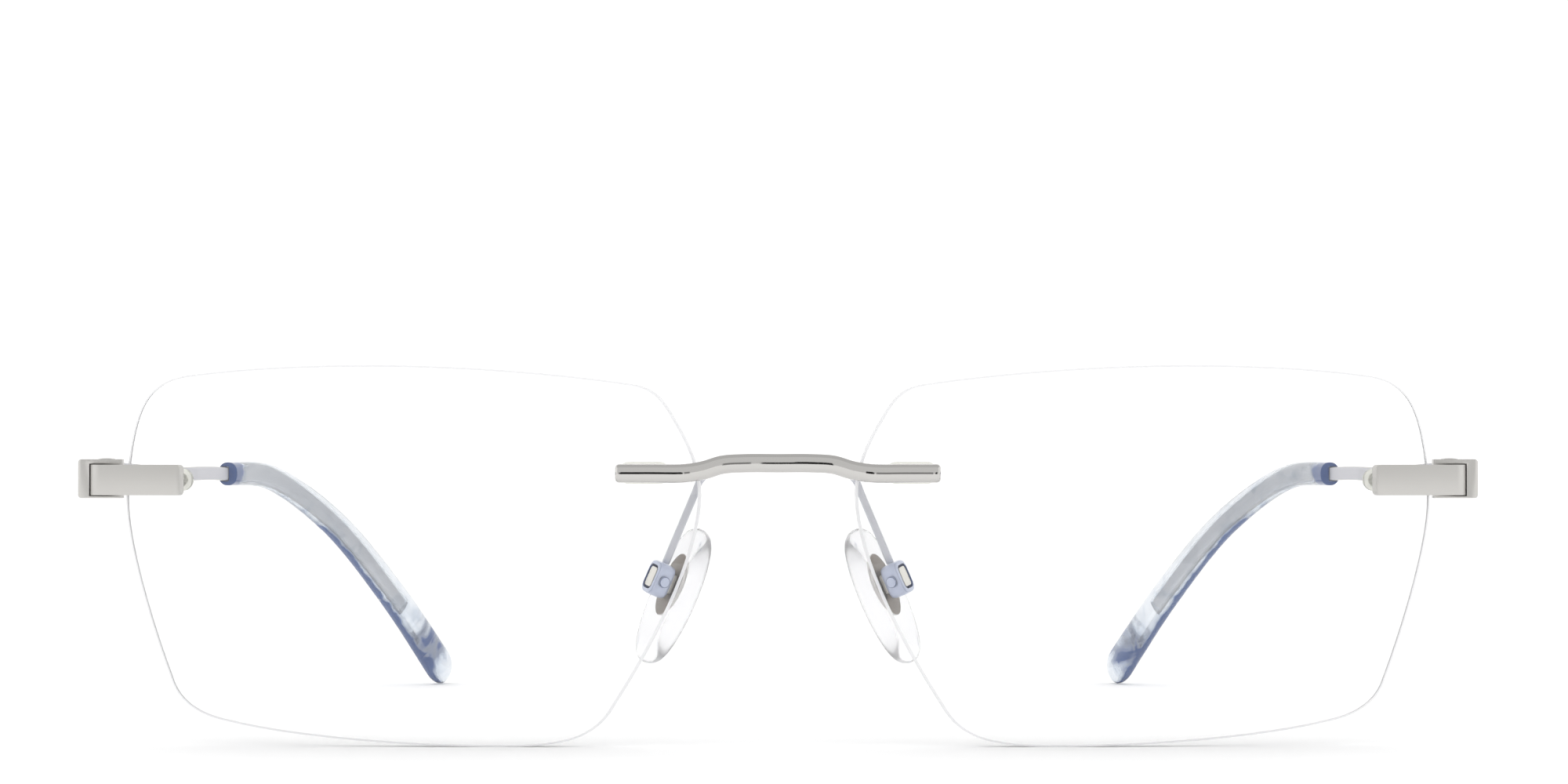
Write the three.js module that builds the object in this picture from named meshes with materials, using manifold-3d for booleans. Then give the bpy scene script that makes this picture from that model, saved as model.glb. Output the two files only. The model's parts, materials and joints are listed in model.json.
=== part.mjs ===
// Rimless eyeglasses: two drilled lenses carried by a bridge and two endpieces, with
// folding temples and rocking nose pads. Millimetres, +X to the viewer's right,
// +Y from the lenses to the temple tips, +Z up, and z = 0 is the surface they stand on.
import * as THREE from "three";
import { mergeVertices } from "three/addons/utils/BufferGeometryUtils.js";
import Module from "manifold-3d";

const wasm = await Module();
wasm.setup();

// ---- Driving dimensions -------------------------------------------------------------
const clearance = 0.1; // between metal parts that turn or sit in one another
const seat = 0.2; // between a lens face and what is clamped to it
const frontToOrigin = 64.77; // from the front of the lenses back to the middle of the bounding box

const lensCentre = { x: 36.5, z: 19 };
const lensThickness = 2;
const baseCurve = 132; // radius of the lens front
const wrap = THREE.MathUtils.degToRad(4);
const blankRadius = 37;

const pinRadius = 0.4;
const pinSpacing = 3;
const bushingWall = 0.2;
const flangeRadius = 1.1;
const flangeThickness = 0.5;

const barHeight = 1.85;
const barThickness = 1.1;

const lug = { inner: 59.35, outer: 67.65, bottom: 24.9, top: 27.95, thickness: 1.1, bend: 1.1 };
const block = { inner: 65.65, outer: 70.1, bottom: 24.6, top: 28.5, front: 5.45, back: 9.05 };
const wall = 1.2;

const hingeAxis = { x: 67.7, y: 9 };
const knuckleRadius = 1.1;
const screwRadius = 0.6;
const knuckleStack = [24.9, 26, 27, 28.1]; // heights where one knuckle ends and the next begins

const strap = { height: 3.9, tailHeight: 1.55, thickness: 1.2, tailThickness: 0.9, taperEnd: 0.34 };
const sleeveStart = 0.567; // share of the temple's length
const sleeveShift = 0.18; // towards the head, as a share of the sleeve's thickness
const coreEnd = 0.89;

const padCentre = new THREE.Vector3(10.5, 9, 14.7);
const padTilt = THREE.MathUtils.degToRad(23.5);
const padSplay = THREE.MathUtils.degToRad(27);
const pad = { width: 7.5, height: 14.6, thickness: 2.6, edge: 1.1 };
const insert = { width: 4.4, height: 6.6, thickness: 0.4, out: 0.75 };
const boss = { width: 1.5, height: 2, x: -0.4, y: 1 };
const box = { width: 3, height: 3.4, depth: 1.9, corner: 0.9, window: [2.1, 2.5], out: 2.55 };
const padPinRadius = 0.4;

// ---- Materials ----------------------------------------------------------------------
const finish = (color, roughness, metalness) =>
  new THREE.MeshStandardMaterial({ color, roughness, metalness });
const clearLens = finish(0xf4f8fa, 0.05, 0);
const polishedMetal = finish(0xd5d3cf, 0.12, 1);
const satinMetal = finish(0xc3c0bd, 0.4, 0.9);
const lacqueredMetal = finish(0xc2c8d8, 0.3, 0.6);
const clearPlastic = finish(0xf2f2f0, 0.15, 0);
const softPlastic = finish(0xf0f1f2, 0.25, 0);
const blueAcetate = finish(0x8ea6c4, 0.2, 0);

// ---- Helpers ------------------------------------------------------------------------
function solid(geometry) {
  const bare = geometry.clone();
  bare.deleteAttribute("normal");
  bare.deleteAttribute("uv");
  const merged = mergeVertices(bare, 1e-4);
  return new wasm.Manifold(
    new wasm.Mesh({
      numProp: 3,
      vertProperties: merged.attributes.position.array,
      triVerts: new Uint32Array(merged.index.array),
    }),
  );
}

function geometryOf(manifold) {
  const { vertProperties, triVerts } = manifold.getMesh();
  return new THREE.BufferGeometry()
    .setAttribute("position", new THREE.BufferAttribute(vertProperties, 3))
    .setIndex(new THREE.BufferAttribute(triVerts, 1));
}

function join(first, ...others) {
  return geometryOf(others.reduce((whole, other) => whole.add(solid(other)), solid(first)));
}

function cut(first, ...tools) {
  return geometryOf(tools.reduce((rest, tool) => rest.subtract(solid(tool)), solid(first)));
}

function common(first, second) {
  return geometryOf(solid(first).intersect(solid(second)));
}

function named(name, geometry, material) {
  const mesh = new THREE.Mesh(geometry, material);
  mesh.name = name;
  return mesh;
}

function ovalShape(width, height) {
  return new THREE.Shape().absellipse(0, 0, width / 2, height / 2, 0, 2 * Math.PI);
}

function roundedShape(width, height, radius) {
  const x = width / 2 - radius;
  const y = height / 2 - radius;
  const shape = new THREE.Shape();
  shape.absarc(x, y, radius, 0, Math.PI / 2);
  shape.absarc(-x, y, radius, Math.PI / 2, Math.PI);
  shape.absarc(-x, -y, radius, Math.PI, Math.PI * 1.5);
  shape.absarc(x, -y, radius, Math.PI * 1.5, Math.PI * 2);
  return shape;
}

function plate(shape, from, to, curveSegments = 4) {
  const slab = new THREE.ExtrudeGeometry(shape, { depth: to - from, bevelEnabled: false, curveSegments });
  return slab.translate(0, 0, from);
}

// A rod along +Z, between two heights.
function rod(radius, from, to, sides = 20) {
  const length = to - from;
  return new THREE.CylinderGeometry(radius, radius, length, sides)
    .rotateX(Math.PI / 2)
    .translate(0, 0, from + length / 2);
}

function block3(x0, x1, y0, y1, z0, z1) {
  return new THREE.BoxGeometry(x1 - x0, y1 - y0, z1 - z0).translate(
    (x0 + x1) / 2,
    (y0 + y1) / 2,
    (z0 + z1) / 2,
  );
}

// Lays a section along a curve. Its x follows hint, squared to the curve, and its y stands
// square to both. size(share) gives the scale of x and y; place spreads the steps out.
function swept(section, curve, hint, { steps, from = 0, to = 1, size, place = (t) => t, curveSegments = 4 }) {
  const geometry = new THREE.ExtrudeGeometry(section, {
    depth: 1,
    steps,
    bevelEnabled: false,
    curveSegments,
  });
  const position = geometry.attributes.position;
  const vertex = new THREE.Vector3();
  for (let i = 0; i < position.count; i++) {
    vertex.fromBufferAttribute(position, i);
    const share = from + (to - from) * place(vertex.z);
    const tangent = curve.getTangentAt(share);
    const across = hint.clone().addScaledVector(tangent, -hint.dot(tangent)).normalize();
    const beside = new THREE.Vector3().crossVectors(tangent, across);
    const [scaleX, scaleY] = size(share);
    const point = curve
      .getPointAt(share)
      .addScaledVector(across, vertex.x * scaleX)
      .addScaledVector(beside, vertex.y * scaleY);
    position.setXYZ(i, point.x, point.y, point.z);
  }
  return geometry;
}

const up = new THREE.Vector3(0, 0, 1);
const right = new THREE.Vector3(1, 0, 0);
const blend = (from, to, share) => THREE.MathUtils.lerp(from, to, THREE.MathUtils.clamp(share, 0, 1));

// Depth of a point on the lens front, at world x and z.
function lensFront(x, z) {
  const across = x - lensCentre.x;
  const height = z - lensCentre.z;
  const sag = (across * across + height * height) / (2 * baseCurve);
  return across * Math.sin(wrap) + sag * Math.cos(wrap);
}

// ---- Lens ---------------------------------------------------------------------------
// Clockwise from the nasal side; x from the middle of the face and z from the floor.
function lensOutline() {
  const shape = new THREE.Shape();
  shape.moveTo(7.9, 25);
  shape.bezierCurveTo(7.9, 27.8, 9.2, 30.4, 10.6, 32.7); // upper nasal side
  shape.bezierCurveTo(11.7, 34.7, 12.7, 35.7, 14.9, 36); // upper nasal corner
  shape.bezierCurveTo(21.2, 36.95, 31.2, 37.85, 41.2, 37.85); // top
  shape.bezierCurveTo(48.4, 37.85, 54.6, 37.5, 59.4, 36.85);
  shape.bezierCurveTo(61.9, 36.5, 63.5, 35.3, 64.3, 33.1); // upper outer corner
  shape.bezierCurveTo(65.1, 31, 65.5, 27.6, 65.5, 24.4); // outer side
  shape.bezierCurveTo(65.5, 20.5, 63, 12.3, 60.9, 6.7);
  shape.bezierCurveTo(60.2, 4.4, 58.3, 3, 55.1, 2.4); // lower outer corner
  shape.bezierCurveTo(48.5, 0.85, 36.2, 0, 28.2, 0); // bottom
  shape.bezierCurveTo(25.2, 0, 23.6, 0.05, 21.9, 0.4);
  shape.bezierCurveTo(19.6, 0.75, 17.7, 1.8, 16.5, 3.9); // lower nasal corner
  shape.bezierCurveTo(12.8, 9.6, 7.9, 18.5, 7.9, 25); // lower nasal side
  return shape;
}

// A round blank, turned on a lathe, with its front at the origin and its back towards +Y.
function lensBlank() {
  const rings = 5;
  const profile = [];
  const face = (depth) =>
    Array.from({ length: rings + 1 }, (_, i) => {
      const radius = (blankRadius * i) / rings;
      return new THREE.Vector2(radius, depth + (radius * radius) / (2 * baseCurve));
    });
  profile.push(...face(0), ...face(lensThickness).reverse());
  return new THREE.LatheGeometry(profile, 36);
}

// Where the pins of a fixing stand: their middle on the lens front, and the way they point.
function fixing(middleX, z) {
  const slope = Math.atan((lensFront(middleX + 1, z) - lensFront(middleX - 1, z)) / 2);
  const group = new THREE.Group();
  group.position.set(middleX, lensFront(middleX, z), z);
  group.rotation.set(-Math.PI / 2, 0, slope, "ZYX"); // its +Z runs back through the lens
  group.updateMatrix();
  return group.matrix;
}

const bridgeFixing = fixing(13.1, 27.1);
const templeFixing = fixing(61.5, 26.4);
const pinPlaces = [-pinSpacing / 2, pinSpacing / 2];

function pins(place, from, to, radius) {
  return pinPlaces.map((x) => rod(radius, from, to, 12).translate(x, 0, 0).applyMatrix4(place));
}

function lens() {
  const outline = plate(lensOutline(), -20, 20, 5)
    .translate(-lensCentre.x, -lensCentre.z, 0)
    .rotateX(Math.PI / 2);
  const edged = common(lensBlank(), outline).rotateZ(wrap).translate(lensCentre.x, 0, lensCentre.z);
  const holeRadius = pinRadius + clearance + bushingWall + clearance;
  const holes = [bridgeFixing, templeFixing].flatMap((place) => pins(place, -3, 6, holeRadius));
  return cut(edged, ...holes);
}

function bushing(place) {
  const barrelRadius = pinRadius + clearance + bushingWall;
  const flangeFrom = lensThickness + seat;
  const flangeTo = flangeFrom + flangeThickness;
  const stadium = roundedShape(pinSpacing + 2 * flangeRadius, 2 * flangeRadius, flangeRadius - 0.001);
  const flange = plate(stadium, flangeFrom, flangeTo, 4).applyMatrix4(place);
  const barrels = pins(place, seat, flangeTo - 0.1, barrelRadius);
  const bores = pins(place, -1, 5, pinRadius + clearance);
  return cut(join(flange, ...barrels), ...bores);
}

const pinTo = lensThickness + seat + flangeThickness + 0.15;

// ---- Bridge -------------------------------------------------------------------------
function bridge() {
  const behind = seat + barThickness / 2;
  const lying = (x) => new THREE.Vector3(x, lensFront(x, 27.1) - behind, 27.1);
  const half = [
    new THREE.Vector3(3.2, -0.72, 28.1),
    new THREE.Vector3(5.5, -0.42, 27.95),
    new THREE.Vector3(7.3, 0.02, 27.42),
    new THREE.Vector3(9.2, lensFront(9.2, 27.1) - behind, 27.12),
    lying(12.6),
    lying(16.1),
  ];
  const mirrored = half.map((p) => new THREE.Vector3(-p.x, p.y, p.z)).reverse();
  const line = new THREE.CatmullRomCurve3([...mirrored, new THREE.Vector3(0, -0.78, 28.1), ...half]);
  const section = new THREE.Shape(); // flat at the back, rounded in front
  section.moveTo(barHeight / 2, -barThickness / 2);
  section.lineTo(barHeight / 2, -barThickness * 0.1);
  section.absellipse(0, -barThickness * 0.1, barHeight / 2, barThickness * 0.6, 0, Math.PI);
  section.lineTo(-barHeight / 2, -barThickness / 2);
  section.closePath();
  const tipShare = 0.012;
  const size = (share) => {
    const fromEnd = Math.min(share, 1 - share) / tipShare;
    return [blend(0.78, 1, fromEnd), blend(0.78, 1, fromEnd)];
  };
  const place = (t) => 0.5 - 0.5 * Math.cos(Math.PI * t) * (1 - 0.35 * Math.sin(Math.PI * t));
  const bar = swept(section, line, up, { steps: 34, size, place, curveSegments: 4 });
  const rightPins = pins(bridgeFixing, -0.5, pinTo, pinRadius);
  const leftPins = rightPins.map(mirror);
  return join(bar, ...rightPins, ...leftPins);
}

// The same solid on the other side of the face, still facing out.
function mirror(geometry) {
  const twin = geometry.index ? geometry.toNonIndexed() : geometry.clone();
  twin.deleteAttribute("normal");
  twin.deleteAttribute("uv");
  const position = twin.attributes.position;
  const corner = [new THREE.Vector3(), new THREE.Vector3(), new THREE.Vector3()];
  for (let i = 0; i < position.count; i += 3) {
    corner.forEach((v, k) => v.fromBufferAttribute(position, i + k));
    [corner[1], corner[2]] = [corner[2], corner[1]];
    corner.forEach((v, k) => position.setXYZ(i + k, -v.x, v.y, v.z));
  }
  return twin;
}

// ---- Endpiece -----------------------------------------------------------------------
// The lug lies along the lens front, then turns back into a pocket of the endpiece block.
// Extra height leaves its top and bottom to be trimmed.
function lugBar(grow, extra = 0) {
  const middle = (lug.bottom + lug.top) / 2;
  const behind = seat + lug.thickness / 2;
  const start = new THREE.Vector2(lug.inner, lensFront(lug.inner, middle) - behind);
  const end = new THREE.Vector2(lug.outer, 0);
  const slope = Math.atan((lensFront(65, middle) - lensFront(lug.inner, middle)) / (65 - lug.inner));
  end.y = start.y + (lug.outer - lug.inner) * Math.tan(slope);
  const turn = Math.PI / 2 - slope;
  const half = lug.thickness / 2 + grow;
  const centre = new THREE.Vector2(end.x - lug.bend * Math.sin(slope), end.y + lug.bend * Math.cos(slope));
  const side = new THREE.Vector2(-Math.sin(slope), Math.cos(slope)); // towards the lens
  const front = start.clone().addScaledVector(side, -half);
  const back = start.clone().addScaledVector(side, half);
  const outline = new THREE.Shape();
  outline.moveTo(back.x - grow, back.y);
  outline.lineTo(front.x - grow, front.y);
  outline.absarc(centre.x, centre.y, lug.bend + half, -Math.PI / 2 + slope, 0, false);
  outline.lineTo(centre.x + lug.bend + half, centre.y + grow);
  outline.lineTo(centre.x + lug.bend - half, centre.y + grow);
  outline.absarc(centre.x, centre.y, lug.bend - half, 0, -turn, true);
  outline.closePath();
  return plate(outline, lug.bottom - grow - extra, lug.top + grow + extra, 8);
}

// A slab seen from the front as a rectangle with rounded corners, its left edge at x = 0.
function roundedFront(width, height, radius) {
  return plate(roundedShape(width, height, radius), -15, 15, 4)
    .translate(width / 2, 0, 0)
    .rotateX(Math.PI / 2);
}

function lensLug() {
  const trim = roundedFront(15, lug.top - lug.bottom, 0.42)
    .rotateZ(Math.atan((lensFront(65, 26.4) - lensFront(lug.inner, 26.4)) / (65 - lug.inner)))
    .translate(lug.inner, lensFront(lug.inner, 26.4) - seat - lug.thickness / 2, (lug.bottom + lug.top) / 2);
  return join(common(lugBar(0, 0.5), trim), ...pins(templeFixing, -0.5, pinTo, pinRadius));
}

function endpiece() {
  const corner = 0.45;
  const { inner, outer, front, back } = block;
  const outline = new THREE.Shape();
  outline.moveTo(inner, front);
  outline.lineTo(outer - corner, front);
  outline.absarc(outer - corner, front + corner, corner, -Math.PI / 2, 0, false);
  outline.lineTo(outer, back);
  outline.lineTo(outer - wall, back);
  outline.lineTo(outer - wall, front + 2.05);
  outline.lineTo(outer - wall - 0.4, front + 1.65);
  outline.lineTo(inner, front + 1.65);
  outline.closePath();
  const width = 15;
  const trim = roundedFront(width, block.top - block.bottom, 0.4).translate(
    outer - width,
    0,
    (block.bottom + block.top) / 2,
  );
  const body = common(plate(outline, block.bottom - 0.5, block.top + 0.5, 5), trim);
  return cut(body, lugBar(clearance));
}

// ---- Hinge --------------------------------------------------------------------------
function knuckle(from, to) {
  return rod(knuckleRadius, from, to, 24).translate(hingeAxis.x, hingeAxis.y, 0);
}

const hingeBore = () =>
  rod(screwRadius + clearance, 20, 32, 20).translate(hingeAxis.x, hingeAxis.y, 0);
const leafX = [hingeAxis.x + 0.3, hingeAxis.x + knuckleRadius];
const knuckleGap = clearance / 2;

function hingeFront() {
  const [z0, z1, z2, z3] = knuckleStack;
  const lower = knuckle(z0, z1 - knuckleGap);
  const upper = knuckle(z2 + knuckleGap, z3);
  const leafFront = block.front + 2.2;
  const leafBack = hingeAxis.y - knuckleRadius - 2 * clearance;
  const leaf = block3(...leafX, leafFront, leafBack, z0, z3);
  const arms = [
    block3(...leafX, leafFront, hingeAxis.y, z0, z1 - knuckleGap),
    block3(...leafX, leafFront, hingeAxis.y, z2 + knuckleGap, z3),
  ];
  return cut(join(leaf, ...arms, lower, upper), hingeBore());
}

function hingeRear() {
  const [z0, z1, z2, z3] = knuckleStack;
  const middle = knuckle(z1 + knuckleGap, z2 - knuckleGap);
  const leafFront = hingeAxis.y + knuckleRadius + 2 * clearance;
  const leaf = block3(...leafX, leafFront, leafFront + 3.4, z0, z3);
  const arm = block3(...leafX, hingeAxis.y, leafFront + 1, z1 + knuckleGap, z2 - knuckleGap);
  const lean = Math.atan2(templeLine.points[0].x - templeLine.points[1].x, templeLine.points[1].y);
  const turned = join(leaf, arm)
    .translate(-hingeAxis.x, -hingeAxis.y, 0)
    .rotateZ(lean)
    .translate(hingeAxis.x, hingeAxis.y, 0);
  return cut(join(turned, middle), hingeBore());
}

function hingeScrew() {
  const [z0, , , z3] = knuckleStack;
  const shank = rod(screwRadius, z0 - 0.15, z3 + clearance + 0.1, 20);
  const head = new THREE.LatheGeometry(
    [
      new THREE.Vector2(0, z3 + clearance),
      new THREE.Vector2(0.95, z3 + clearance),
      new THREE.Vector2(0.95, z3 + 0.35),
      new THREE.Vector2(0.7, z3 + 0.5),
      new THREE.Vector2(0, z3 + 0.5),
    ],
    24,
  ).rotateX(Math.PI / 2);
  const slot = block3(-1.2, 1.2, -0.13, 0.13, z3 + 0.28, z3 + 1);
  return cut(join(shank, head), slot).translate(hingeAxis.x, hingeAxis.y, 0);
}

// ---- Temple -------------------------------------------------------------------------
const templeLine = new THREE.CatmullRomCurve3(
  [
    new THREE.Vector3(69.5, 9.2, 26.55),
    new THREE.Vector3(67.4, 47, 26.6),
    new THREE.Vector3(65.3, 84.5, 26.7),
    new THREE.Vector3(61, 98, 26),
    new THREE.Vector3(55, 108, 20.7),
    new THREE.Vector3(49, 118.5, 12),
    new THREE.Vector3(42.7, 130.6, 0.65),
  ],
  false,
  "centripetal",
);

function strapSize(share) {
  const taper = share / strap.taperEnd;
  return [
    blend(strap.height, strap.tailHeight, taper),
    blend(strap.thickness, strap.tailThickness, taper),
  ];
}

function temple() {
  const section = roundedShape(1, 1, 0.2);
  return swept(section, templeLine, up, { steps: 32, to: coreEnd, size: strapSize, curveSegments: 1 });
}

function templeTip() {
  const rounded = (share) => {
    const left = (1 - share) / (1 - sleeveStart);
    const cap = 0.055;
    return left > cap ? 1 : Math.max(0.12, Math.sqrt(1 - (1 - left / cap) ** 2));
  };
  const size = (share) => {
    const along = (share - sleeveStart) / (1 - sleeveStart);
    const height = along < 0.3 ? blend(2.7, 3.1, along / 0.3) : blend(3.1, 4.4, (along - 0.3) / 0.65);
    return [height * rounded(share), blend(2.3, 2.7, along) * rounded(share)];
  };
  const section = new THREE.Shape().absellipse(0, -sleeveShift, 0.5, 0.5, 0, 2 * Math.PI);
  const outer = swept(section, templeLine, up, {
    steps: 24,
    from: sleeveStart,
    size,
    place: (t) => Math.sin((Math.PI / 2) * t) * 0.6 + 0.4 * t,
    curveSegments: 7,
  });
  const room = (share) => strapSize(share).map((length) => length + 2 * clearance);
  const pocket = swept(roundedShape(1, 1, 0.2), templeLine, up, {
    steps: 18,
    from: sleeveStart - 0.01,
    to: coreEnd + 0.003,
    size: room,
    curveSegments: 1,
  });
  return cut(outer, pocket);
}

// ---- Nose pad -----------------------------------------------------------------------
function padPlace() {
  const tall = new THREE.Vector3(-Math.sin(padTilt), 0, Math.cos(padTilt));
  const wide = new THREE.Vector3(Math.sin(padSplay), Math.cos(padSplay), 0);
  wide.addScaledVector(tall, -wide.dot(tall)).normalize();
  const outward = new THREE.Vector3().crossVectors(wide, tall);
  return new THREE.Matrix4().makeBasis(wide, tall, outward).setPosition(padCentre);
}

const bossTop = box.out + 0.9;
const pinAlong = (radius, from, to) =>
  rod(radius, from, to, 16).rotateY(Math.PI / 2).translate(boss.x, boss.y, box.out);

function nosePad() {
  const { width, height, thickness, edge } = pad;
  const body = new THREE.ExtrudeGeometry(ovalShape(width - 2 * edge, height - 2 * edge), {
    depth: thickness - 2 * edge,
    bevelThickness: edge,
    bevelSize: edge,
    bevelSegments: 3,
    curveSegments: 14,
  }).translate(0, 0, -(thickness - 2 * edge) / 2);
  const room = ovalShape(insert.width + 2 * clearance, insert.height + 2 * clearance);
  const slot = plate(room, -insert.thickness / 2 - clearance, insert.thickness / 2 + clearance, 10);
  const neck = plate(roundedShape(boss.width + 2 * clearance, boss.height + 2 * clearance, 0.3), 0, 3);
  return cut(body, slot.translate(boss.x, boss.y, insert.out), neck.translate(boss.x, boss.y, insert.out));
}

function padInsert() {
  const oval = plate(ovalShape(insert.width, insert.height), -insert.thickness / 2, insert.thickness / 2, 10);
  const post = plate(roundedShape(boss.width, boss.height, 0.3), insert.out, bossTop);
  const body = join(oval.translate(boss.x, boss.y, insert.out), post.translate(boss.x, boss.y, 0));
  return cut(body, pinAlong(padPinRadius + clearance, -3, 3));
}

function padBox() {
  const bevel = 0.35;
  const face = roundedShape(box.width - 2 * bevel, box.height - 2 * bevel, box.corner - bevel);
  const shell = new THREE.ExtrudeGeometry(face, {
    depth: box.depth - 2 * bevel,
    bevelThickness: bevel,
    bevelSize: bevel,
    bevelSegments: 2,
    curveSegments: 2,
  }).translate(boss.x, boss.y, box.out - box.depth / 2 + bevel);
  const window = plate(roundedShape(...box.window, 0.6), 0, 6).translate(boss.x, boss.y, 0);
  return cut(shell, window, pinAlong(padPinRadius + clearance, -3, 3));
}

function padPin() {
  const shank = pinAlong(padPinRadius, -box.width / 2 - 0.2, box.width / 2 - 0.1);
  const head = pinAlong(0.55, -box.width / 2 - 0.3, -box.width / 2 - clearance);
  return join(shank, head);
}

function padArm() {
  const boxTop = new THREE.Vector3(boss.x, boss.y + box.height / 2 + clearance, box.out).applyMatrix4(
    padPlace(),
  );
  const elbow = new THREE.Vector3(8.45, 5.2, 24.9);
  const line = new THREE.CatmullRomCurve3([
    new THREE.Vector3(6.65, 0.9, 27.4),
    new THREE.Vector3(6.75, 2.6, 27.3),
    new THREE.Vector3(7.2, 3.9, 27),
    new THREE.Vector3(7.9, 4.75, 26.2),
    elbow,
    boxTop.clone().lerp(elbow, 0.5),
    boxTop,
  ]);
  const size = (share) => [blend(1.15, 0.8, share * 5), blend(1.3, 0.55, share * 3)];
  return swept(roundedShape(1, 1, 0.2), line, right, { steps: 18, size, curveSegments: 1 });
}

// ---- Assembly -----------------------------------------------------------------------
// Everything on one side of the face; the other side is its mirror image.
function sideGroup(side) {
  const group = new THREE.Group();
  const placedPad = new THREE.Group();
  placedPad.applyMatrix4(padPlace());
  placedPad.add(
    named(`nose_pad_${side}`, nosePad(), softPlastic),
    named(`pad_insert_${side}`, padInsert(), polishedMetal),
    named(`pad_box_${side}`, padBox(), lacqueredMetal),
    named(`pad_pin_${side}`, padPin(), polishedMetal),
  );
  group.add(
    named(`lens_${side}`, lens(), clearLens),
    named(`bridge_bushing_${side}`, bushing(bridgeFixing), clearPlastic),
    named(`endpiece_bushing_${side}`, bushing(templeFixing), clearPlastic),
    named(`lens_lug_${side}`, lensLug(), satinMetal),
    named(`endpiece_${side}`, endpiece(), satinMetal),
    named(`hinge_front_${side}`, hingeFront(), polishedMetal),
    named(`hinge_rear_${side}`, hingeRear(), polishedMetal),
    named(`hinge_screw_${side}`, hingeScrew(), polishedMetal),
    named(`temple_${side}`, temple(), satinMetal),
    named(`temple_tip_${side}`, templeTip(), blueAcetate),
    named(`pad_arm_${side}`, padArm(), lacqueredMetal),
    placedPad,
  );
  return group;
}

const eyeglasses = new THREE.Group();
const leftSide = sideGroup("left");
leftSide.scale.x = -1;
eyeglasses.add(named("bridge", bridge(), polishedMetal), sideGroup("right"), leftSide);
eyeglasses.children.forEach((child) => child.position.setY(-frontToOrigin));

export default eyeglasses;
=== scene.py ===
import json
import math

import bmesh
import bpy
from bpy.props import FloatProperty, FloatVectorProperty, IntProperty, PointerProperty
from mathutils import Matrix, Vector
from mathutils.geometry import interpolate_bezier


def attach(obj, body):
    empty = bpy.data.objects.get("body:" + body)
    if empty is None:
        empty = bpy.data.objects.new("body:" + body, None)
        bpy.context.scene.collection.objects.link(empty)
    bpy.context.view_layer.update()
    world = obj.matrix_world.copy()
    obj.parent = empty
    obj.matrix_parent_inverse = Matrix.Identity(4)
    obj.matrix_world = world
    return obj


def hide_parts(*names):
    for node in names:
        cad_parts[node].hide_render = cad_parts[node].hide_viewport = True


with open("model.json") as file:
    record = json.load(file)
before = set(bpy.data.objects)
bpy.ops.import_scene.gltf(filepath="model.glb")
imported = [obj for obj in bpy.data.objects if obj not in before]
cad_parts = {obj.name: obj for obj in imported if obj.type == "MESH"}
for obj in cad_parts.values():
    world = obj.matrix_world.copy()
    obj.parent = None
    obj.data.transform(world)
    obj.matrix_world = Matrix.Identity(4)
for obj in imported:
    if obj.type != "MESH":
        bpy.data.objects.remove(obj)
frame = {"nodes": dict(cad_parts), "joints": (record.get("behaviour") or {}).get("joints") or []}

bl_info = {
    "name": "Rimless Eyeglasses",
    "version": (1, 0, 0),
    "blender": (4, 5, 0),
    "location": "3D View > Sidebar > Eyeglasses",
    "description": "Builds the finished surfaces of a pair of rimless eyeglasses around their design frame",
    "category": "Object",
}

MM = 0.001
SIDES = {"right": 1, "left": -1}
JOINTS = {joint["name"]: joint for joint in frame["joints"]}
HINGE = Vector(JOINTS["temple_hinge_right"]["pos_m"])
PAD_AXIS = Vector(JOINTS["pad_rock_right"]["axis"])
HINGE_SETBACK = 9 * MM
FRONT_Y = HINGE.y - HINGE_SETBACK  # the depth of the lens fronts at their middle
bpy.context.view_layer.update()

LENS_CENTRE = Vector((36.5 * MM, FRONT_Y, 19 * MM))
BASE_CURVE = 132 * MM  # radius of the lens front
WRAP = math.radians(4)
SEAT = 0.2 * MM  # the gap between a lens and the bar in front of it
PAD_CENTRE = Vector((10.5 * MM, FRONT_Y + 9 * MM, 14.7 * MM))
PAD_TILT = math.radians(23.5)
BOSS_SIDEWAYS = -0.4 * MM
BOSS_UP = 1 * MM
BOX_OUT = 2.55 * MM
BOX_HEIGHT = 3.4 * MM
BOX_CLEARANCE = 0.1 * MM

# Corner points of the lens outline, each with the handles before and after it, in millimetres
# from the middle of the face and from the floor.
LENS_OUTLINE = (
    ((7.9, 18.5), (7.9, 25), (7.9, 27.8)),
    ((9.2, 30.4), (10.6, 32.7), (11.7, 34.7)),
    ((12.7, 35.7), (14.9, 36), (21.2, 36.95)),
    ((31.2, 37.85), (41.2, 37.85), (48.4, 37.85)),
    ((54.6, 37.5), (59.4, 36.85), (61.9, 36.5)),
    ((63.5, 35.3), (64.3, 33.1), (65.1, 31)),
    ((65.5, 27.6), (65.5, 24.4), (65.5, 20.5)),
    ((63, 12.3), (60.9, 6.7), (60.2, 4.4)),
    ((58.3, 3), (55.1, 2.4), (48.5, 0.85)),
    ((36.2, 0), (28.2, 0), (25.2, 0)),
    ((23.6, 0.05), (21.9, 0.4), (19.6, 0.75)),
    ((17.7, 1.8), (16.5, 3.9), (12.8, 9.6)),
)


# ---- Settings -----------------------------------------------------------------------
class EyeglassSizes(bpy.types.PropertyGroup):
    """Sizes of the finished surfaces."""

    lens_thickness: FloatProperty(
        name="Lens thickness",
        description="From the front of a lens to its back",
        default=2 * MM,
        unit="LENGTH",
    )
    rim_bevel: FloatProperty(
        name="Rim bevel",
        description="Width of the safety bevel round a lens",
        default=0.2 * MM,
        unit="LENGTH",
    )
    bar_height: FloatProperty(
        name="Bridge height", description="Height of the bridge bar", default=1.85 * MM, unit="LENGTH"
    )
    bar_thickness: FloatProperty(
        name="Bridge thickness", description="Depth of the bridge bar", default=1.1 * MM, unit="LENGTH"
    )
    outline_steps: IntProperty(
        name="Outline steps", description="Points along each stretch of a lens outline", default=16, min=4
    )


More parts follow.
